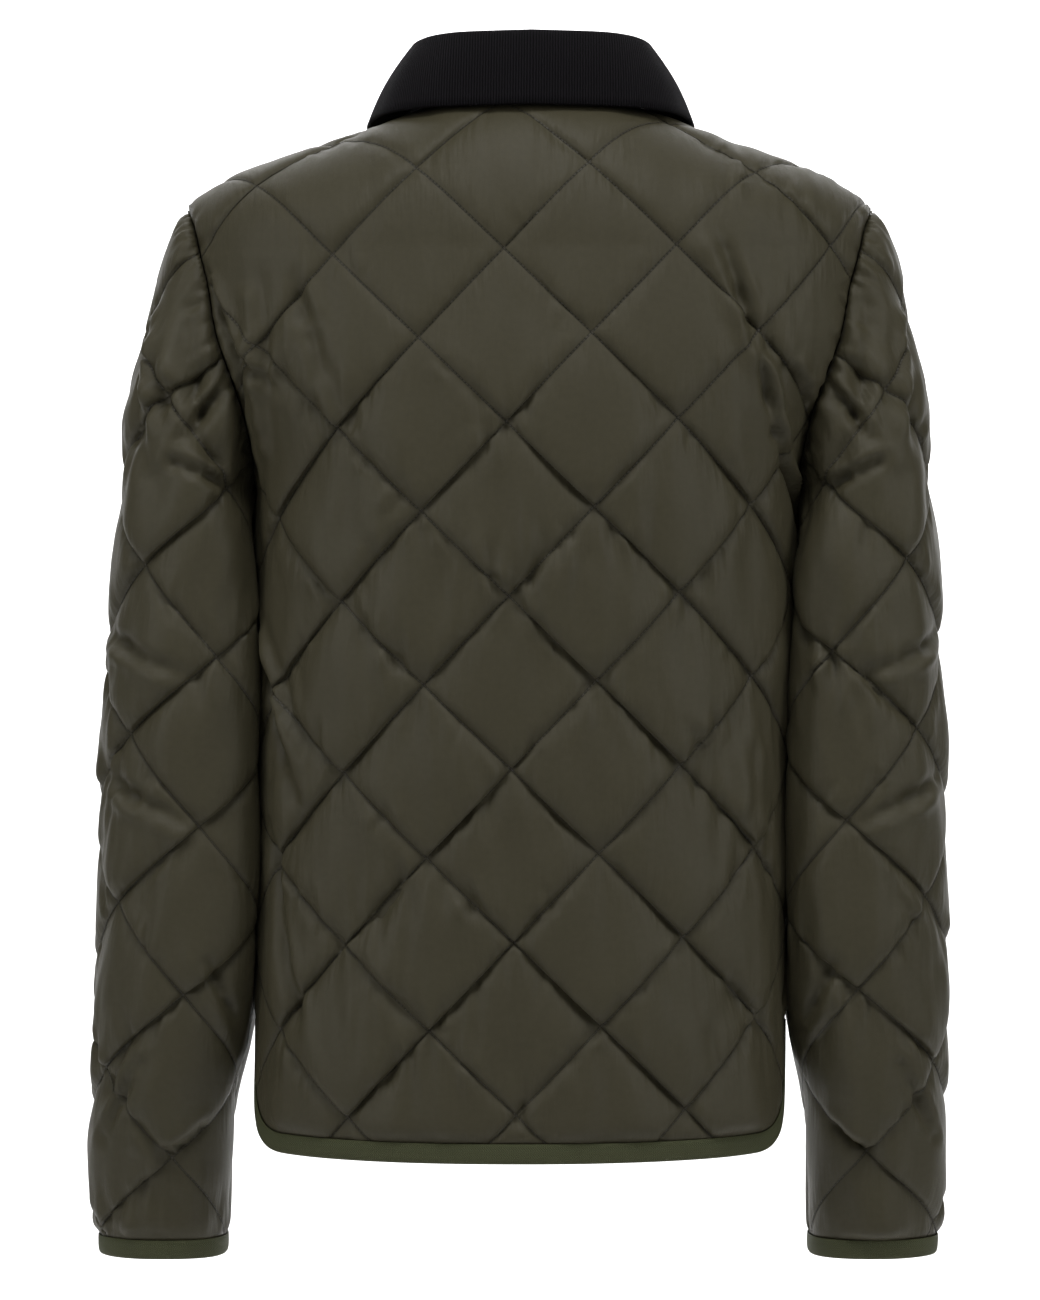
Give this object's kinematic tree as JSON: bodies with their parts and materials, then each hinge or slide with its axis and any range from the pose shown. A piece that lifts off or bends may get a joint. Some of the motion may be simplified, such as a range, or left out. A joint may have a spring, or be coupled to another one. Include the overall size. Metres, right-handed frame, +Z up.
{
  "type": "quilted jacket",
  "caption": "Waist-length jacket of diamond-quilted cloth with a folded corduroy collar, set-in sleeves, side vents, bound edges and a snap front.",
  "frame": {"origin": "middle of the neck, level with the side-neck points", "axes": "+Z up along the jacket, +Y towards its back, +X towards the wearer's left"},
  "size_m": [0.5521, 0.2603, 0.7769],
  "materials": {
    "shell": "dark olive quilted shell with a soft satin sheen",
    "corduroy": "near-black fine-wale corduroy",
    "tape": "olive green ribbed binding tape",
    "stud": "dark burnished metal press-stud caps"
  },
  "bodies": {
    "root": {"back": "shell", "front_left": "shell", "front_right": "shell", "sleeve_left": "shell", "sleeve_right": "shell", "collar": "corduroy", "binding_back": "tape", "binding_front_left": "tape", "binding_front_right": "tape", "binding_cuff_left": "tape", "binding_cuff_right": "tape", "snap_1": "stud", "snap_2": "stud", "snap_3": "stud", "snap_4": "stud", "snap_5": "stud"}
  },
  "joints": []
}
